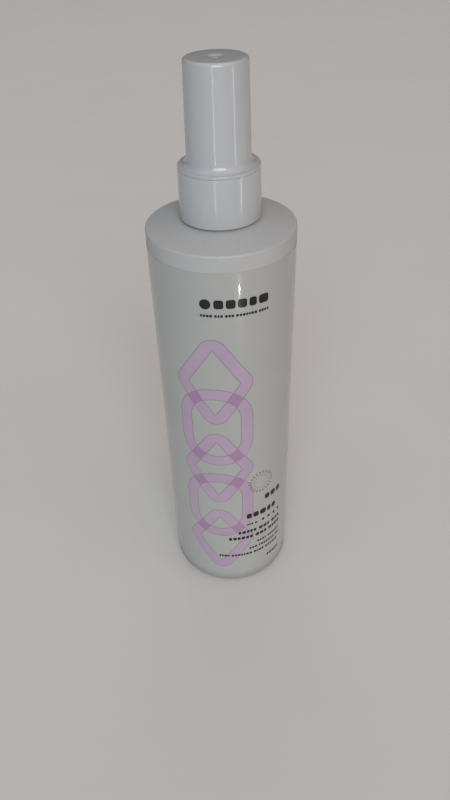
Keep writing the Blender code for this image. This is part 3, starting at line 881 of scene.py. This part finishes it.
def build_housing(material):
    """The pump's cylinder: flange, cup, vent hole, spring ledge, ball seat, and the dip tube's socket."""
    wall, bore_r, cup_r, cup_low = 1.1, 4.5, 6.0, 178.5
    flange = HOUSING_TOP - 1.0
    ledge_r, ledge_z, bore_low = 3.0, 163.0, 164.0
    cage_r, cage_top = 1.6, 159.5
    bead_r, bead_z = 1.3, 158.55
    ball_r, seat_top, inlet_r, seat_low = 1.9, 156.6, 0.9, 154.2
    tube_r, nipple_r = 2.15, 3.1
    outline = rounded(
        [
            (tube_r, HOUSING_LOW, 0.2),
            (nipple_r, HOUSING_LOW, 0.3),
            (nipple_r, 154.0, 0.5),
            (ledge_r + wall, 156.0, 0.5),
            (ledge_r + wall, 160.5, 0.8),
            (bore_r + wall, ledge_z, 0.8),
            (bore_r + wall, cup_low - 1.2, 0.3),
            (cup_r + 1.0, cup_low - 0.4, 0.3),
            (cup_r + 1.0, flange, 0.3),
            (HOUSING_R, flange, 0.2),
            (HOUSING_R, HOUSING_TOP, 0.2),
            (cup_r, HOUSING_TOP, 0.15),
            (cup_r, cup_low, 0.1),
            (bore_r, cup_low, 0.15),
            (bore_r, bore_low, 0.1),
            (ledge_r, ledge_z, 0.1),
            (ledge_r, cage_top, 0.1),
            (cage_r, cage_top, 0.05),
            (bead_r, cage_top - 0.3, 0.05),
            (bead_r, bead_z, 0.05),
            (ball_r, bead_z, 0.05),
            (ball_r, seat_top, 0.1),
            (inlet_r, seat_top - 1.2, 0.1),
            (inlet_r, seat_low, 0.05),
            (tube_r, seat_low, 0.1),
        ],
        4,
    )
    housing = turned("pump_cylinder", outline, material)
    vent_r, vent_z = 0.5, 176.4
    combine(housing, ("DIFFERENCE", rod(vent_r, 0, 9, "X", (0, 0, vent_z), 20)))
    return finished(housing, "pump", "pump_housing")


def build_guide(material):
    """The ring that closes the housing: its bead holds the collar, and the stem runs in its bore."""
    plug_r, boss_r, bore_r, stop_bore_r = 5.75, 4.6, 2.2, 3.5
    bead_r, bead_z, stop_z = 5.25, CAP_LOW, 181.55
    outline = rounded(
        [
            (stop_bore_r, GUIDE_LOW, 0.2),
            (plug_r, GUIDE_LOW, 0.3),
            (plug_r, HOUSING_TOP, 0.2),
            (boss_r, HOUSING_TOP, 0.1),
            (boss_r, bead_z, 0.1),
            (bead_r, bead_z, 0.15),
            (boss_r, bead_z + 0.9, 0.15),
            (boss_r, GUIDE_TOP, 0.5),
            (bore_r, GUIDE_TOP, 0.3),
            (bore_r, stop_z, 0.15),
            (stop_bore_r, stop_z, 0.15),
        ],
        4,
    )
    return finished(turned("guide_ring", outline, material), "pump", "stem_guide")


def build_stem(material):
    """Hollow stem with its stop flange and a port through both sides."""
    stop_low, stop_high = 180.5, 181.3
    outline = rounded(
        [
            (STEM_BORE_R, STEM_LOW, 0.1),
            (STEM_R, STEM_LOW, 0.1),
            (STEM_R, stop_low, 0.1),
            (STOP_R, stop_low, 0.15),
            (STOP_R, stop_high, 0.15),
            (STEM_R, stop_high, 0.2),
            (STEM_R, STEM_TOP, 0.35),
            (STEM_BORE_R, STEM_TOP, 0.15),
        ],
        4,
    )
    stem = turned("stem_tube", outline, material)
    port_r, port_z = 0.3, STEM_LOW + 0.8
    combine(stem, ("DIFFERENCE", rod(port_r, -3, 3, "X", (0, 0, port_z), 16)))
    return finished(stem, "stem", "pump_stem")


def build_foot(material):
    """The plug in the stem's lower end: pin, head that the piston closes on, and tip inside the spring."""
    tip_r, pin_r = 1.3, STEM_BORE_R - 0.12
    head_top, head_low = STEM_LOW - 0.25, STEM_LOW - 1.55
    outline = rounded(
        [
            (0, FOOT_LOW),
            (tip_r, FOOT_LOW, 0.5),
            (tip_r, head_low, 0.3),
            (FOOT_R, head_low, 0.2),
            (FOOT_R, head_top, 0.2),
            (pin_r, head_top, 0.1),
            (pin_r, FOOT_TOP, 0.2),
            (0, FOOT_TOP),
        ],
        4,
    )
    return finished(turned("foot_plug", outline, material), "stem", "stem_foot")


def build_piston(material):
    """Soft sleeve with a wiping lip at each end."""
    waist_r, sleeve_r = 3.7, STEM_R + 0.1
    lip, recess = 0.35, 0.5
    outline = rounded(
        [
            (sleeve_r, PISTON_LOW, 0.1),
            (2.9, PISTON_LOW, 0.1),
            (3.3, PISTON_LOW + 0.7, 0.2),
            (PISTON_R - lip, PISTON_LOW + 0.2, 0.05),
            (PISTON_R, PISTON_LOW + 0.2, 0.08),
            (PISTON_R, PISTON_LOW + 0.6, 0.2),
            (waist_r, PISTON_LOW + 1.8, 0.4),
            (waist_r, PISTON_TOP - 1.4, 0.4),
            (PISTON_R, PISTON_TOP - 0.4, 0.15),
            (PISTON_R, PISTON_TOP, 0.08),
            (PISTON_R - lip, PISTON_TOP, 0.05),
            (3.4, PISTON_TOP - recess, 0.1),
            (sleeve_r, PISTON_TOP - recess, 0.1),
        ],
        4,
    )
    return finished(turned("piston_seal", outline, material), "piston", "piston")


def build_ball(material):
    steps = 32
    arc = [-math.pi / 2 + math.pi * k / steps for k in range(steps + 1)]
    outline = [(BALL_R * math.cos(t), BALL_LOW + BALL_R * (1 + math.sin(t))) for t in arc]
    return finished(turned("check_ball", outline, material), "inlet_ball", "inlet_ball")


def build_springs(material):
    """The return spring rides on the pump and the valve spring on the stem, each with a mesh of its own."""
    _, low, high = extent("return_spring")
    spring = coil("return_coil", 2.3, 0.3, low, high, 8, material)
    finished(spring, "pump", "return_spring")
    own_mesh(spring)
    _, low, high = extent("valve_spring")
    spring = coil("valve_coil", 2.6, 0.18, low, high, 4, material)
    finished(spring, "stem", "valve_spring")
    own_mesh(spring)


def build_tube(material):
    """Bowed dip tube, cut on a slant at its lower end."""
    outer_r, bore_r, bow, straight, slant = 2.0, 1.2, 9.0, 135.0, 0.9
    sides, stations = 32, 60
    low = TUBE_LOW + outer_r * slant
    walls = []
    for radius in (outer_r, bore_r):
        rings = []
        for i in range(stations + 1):
            share = i / stations
            z = TUBE_TOP + (low - TUBE_TOP) * share
            fall = max(0.0, (straight - z) / (straight - low))
            tilt = math.atan(2 * bow * fall / (straight - low))
            ring = []
            for k in range(sides):
                turn = k * math.tau / sides
                across = radius * math.sin(turn)
                cut = across * slant if i == stations else 0.0
                y = -bow * fall**2 + across * math.cos(tilt)
                ring.append((radius * math.cos(turn), y, z + cut + across * math.sin(tilt)))
            rings.append(ring)
        walls.append(rings)
    outer, inner = walls
    wall = lofted("tube_wall", outer + inner[::-1], material, closed=True)
    return finished(wall, "pump", "dip_tube")


# Camera, light and floor --------------------------------------------------------------------------------
CAMERA_AZIMUTH = -8.5   # degrees from -Y, to the left of the label's middle


def place_camera():
    """The viewing angle: from in front, a little to the left of the label's middle, looking down."""
    focal_px, frame_px = 663.3, 800
    turn = math.radians(CAMERA_AZIMUTH)
    pitch, yaw, roll = 0.6807, -0.0037, -0.0357
    forward = Vector((math.sin(yaw) * math.cos(pitch), math.cos(yaw) * math.cos(pitch), -math.sin(pitch)))
    right = forward.cross(Vector((0, 0, 1))).normalized()
    up = right.cross(forward)
    tipped_right = right * math.cos(roll) + up * math.sin(roll)
    tipped_up = up * math.cos(roll) - right * math.sin(roll)
    axes = Matrix((tipped_right, tipped_up, -forward)).transposed().to_4x4()
    camera = bpy.data.objects.new("camera", bpy.data.cameras.new("camera"))
    bpy.context.scene.collection.objects.link(camera)
    camera.data.sensor_width = 36
    camera.data.lens = focal_px / frame_px * camera.data.sensor_width
    camera.data.clip_start = 0.01
    camera.matrix_world = (
        Matrix.Rotation(turn, 4, "Z") @ Matrix.Translation(Vector((0, -214.2, 261.6)) * MM) @ axes
    )
    bpy.context.scene.camera = camera


def around(distance, azimuth, height):
    """A point at a distance from the bottle's axis: azimuth 0 is towards the camera, + is to its right."""
    turn = math.radians(azimuth + CAMERA_AZIMUTH)
    return (distance * math.sin(turn), -distance * math.cos(turn), height)


def add_light(name, kind, at, aim, power, colour):
    """A light at a point in mm, aimed at another, that the camera doesn't see."""
    light = bpy.data.lights.new(name, kind)
    light.energy = power
    light.color = colour
    obj = bpy.data.objects.new(name, light)
    bpy.context.scene.collection.objects.link(obj)
    obj.location = Vector(at) * MM
    obj.rotation_euler = (Vector(aim) - Vector(at)).to_track_quat("-Z", "Y").to_euler()
    obj.visible_camera = False
    return obj


def soft_sun(name, azimuth, elevation, spread, power, colour=(1, 1, 1)):
    """A wide, soft light from far away. spread is the angle it fills, in degrees."""
    height = math.tan(math.radians(elevation))
    obj = add_light(name, "SUN", around(1.0, azimuth, height), (0, 0, 0), power, colour)
    obj.data.angle = math.radians(spread)
    return obj


def panel(name, at, aim, size, power, colour=(1, 1, 1)):
    """A rectangular light of size (across, up) in mm, which only gloss picks up."""
    obj = add_light(name, "AREA", at, aim, power, colour)
    obj.data.shape = "RECTANGLE"
    obj.data.size, obj.data.size_y = size[0] * MM, size[1] * MM
    obj.visible_diffuse = False


def place_lights():
    """Broad soft light from the front, above and behind, a warm bounce from the right, and gloss panels."""
    cap = (0, 0, 190)
    soft_sun("front_key", 2, 30, 42, 1.82, (0.85, 0.95, 0.99))
    soft_sun("right_bounce", 50, 25, 60, 0.40, (1.0, 0.40, 0.12))
    soft_sun("overhead", 0, 80, 80, 0.95, (1.0, 0.94, 0.97))
    fill = soft_sun("back_fill", 180, 25, 70, 0.60, (1.0, 0.93, 0.84))
    fill.visible_glossy = False
    panel("strip_left", around(430, -13, 66), cap, (5, 300), 0.08)
    panel("strip_right", around(430, 58, 66), cap, (7, 300), 0.09)
    label_top = (0, 0, 157)
    panel("label_glint", around(270, 23.5, 15), label_top, (7, 4), 0.017)
    world = bpy.data.worlds.new("studio")
    world.use_nodes = True
    background = world.node_tree.nodes["Background"]
    background.inputs["Color"].default_value = (0.93, 0.95, 0.98, 1)
    background.inputs["Strength"].default_value = 0.03
    bpy.context.scene.world = world
    bpy.context.scene.view_settings.view_transform = "Standard"


def place_floor():
    """A pale floor and, far off on all sides, a pale curved backdrop that lets light through. In metres."""
    pale = pale_floor()
    bm = bmesh.new()
    floor_half = 6.0
    bmesh.ops.create_grid(bm, x_segments=8, y_segments=8, size=floor_half)
    piece("floor", bm, pale)

    floor_r, cove_r, wall_top, steps = 2.6, 0.9, 4.0, 12
    above_floor = 0.0005
    turns = [math.pi / 2 * k / steps for k in range(steps + 1)]
    profile = [(floor_r + cove_r * math.sin(t), above_floor + cove_r * (1 - math.cos(t))) for t in turns]
    profile.append((floor_r + cove_r, wall_top))
    bm = bmesh.new()
    line = [bm.verts.new((r, 0, z)) for r, z in profile]
    edges = [bm.edges.new(pair) for pair in zip(line, line[1:])]
    bmesh.ops.spin(
        bm,
        geom=line + edges,
        cent=(0, 0, 0),
        axis=(0, 0, 1),
        angle=math.tau,
        steps=96,
        use_merge=True,
    )
    backdrop = piece("backdrop", bm, pale)
    backdrop.visible_shadow = False
    backdrop.visible_diffuse = False
    backdrop.visible_glossy = False


# Assembly -----------------------------------------------------------------------------------------------
place_camera()
place_lights()
place_floor()

bottle_look = satin_bottle()
cap_look = glossy_cap()
pink = print_ink("pink_ink", (0.425, 0.310, 0.440), (0.460, 0.365, 0.475))
pink_rim = print_ink("pink_rim_ink", (0.270, 0.225, 0.255), (0.310, 0.260, 0.290))
deep_pink = print_ink("deep_pink_ink", (0.355, 0.205, 0.350), (0.390, 0.245, 0.385))
seal_ink = print_ink("seal_ink", (0.270, 0.145, 0.165), (0.320, 0.190, 0.205))
black_ink = print_ink("black_ink", (0.010, 0.010, 0.011), (0.022, 0.022, 0.024), 0.25)
polymer = natural_polymer("natural_polymer", (0.60, 0.61, 0.58), (0.68, 0.69, 0.66), 0.28, 0.25)
soft_polymer = natural_polymer("soft_polymer", (0.66, 0.66, 0.62), (0.72, 0.72, 0.69), 0.42, 0.3)
tube_polymer = natural_polymer("tube_polymer", (0.62, 0.64, 0.62), (0.68, 0.70, 0.68), 0.3, 0.35)
steel = drawn_steel()

build_bottle(bottle_look)
build_label(label_film())
build_chain(pink, pink_rim, deep_pink)
build_seal(seal_ink)
build_text_bars(black_ink)
build_collar(cap_look)
build_overcap(cap_look)
build_actuator(cap_look)
build_nozzle(polymer)
build_gasket(soft_polymer)
build_housing(polymer)
build_guide(polymer)
build_stem(polymer)
build_foot(polymer)
build_piston(soft_polymer)
build_ball(steel)
build_springs(steel)
build_tube(tube_polymer)
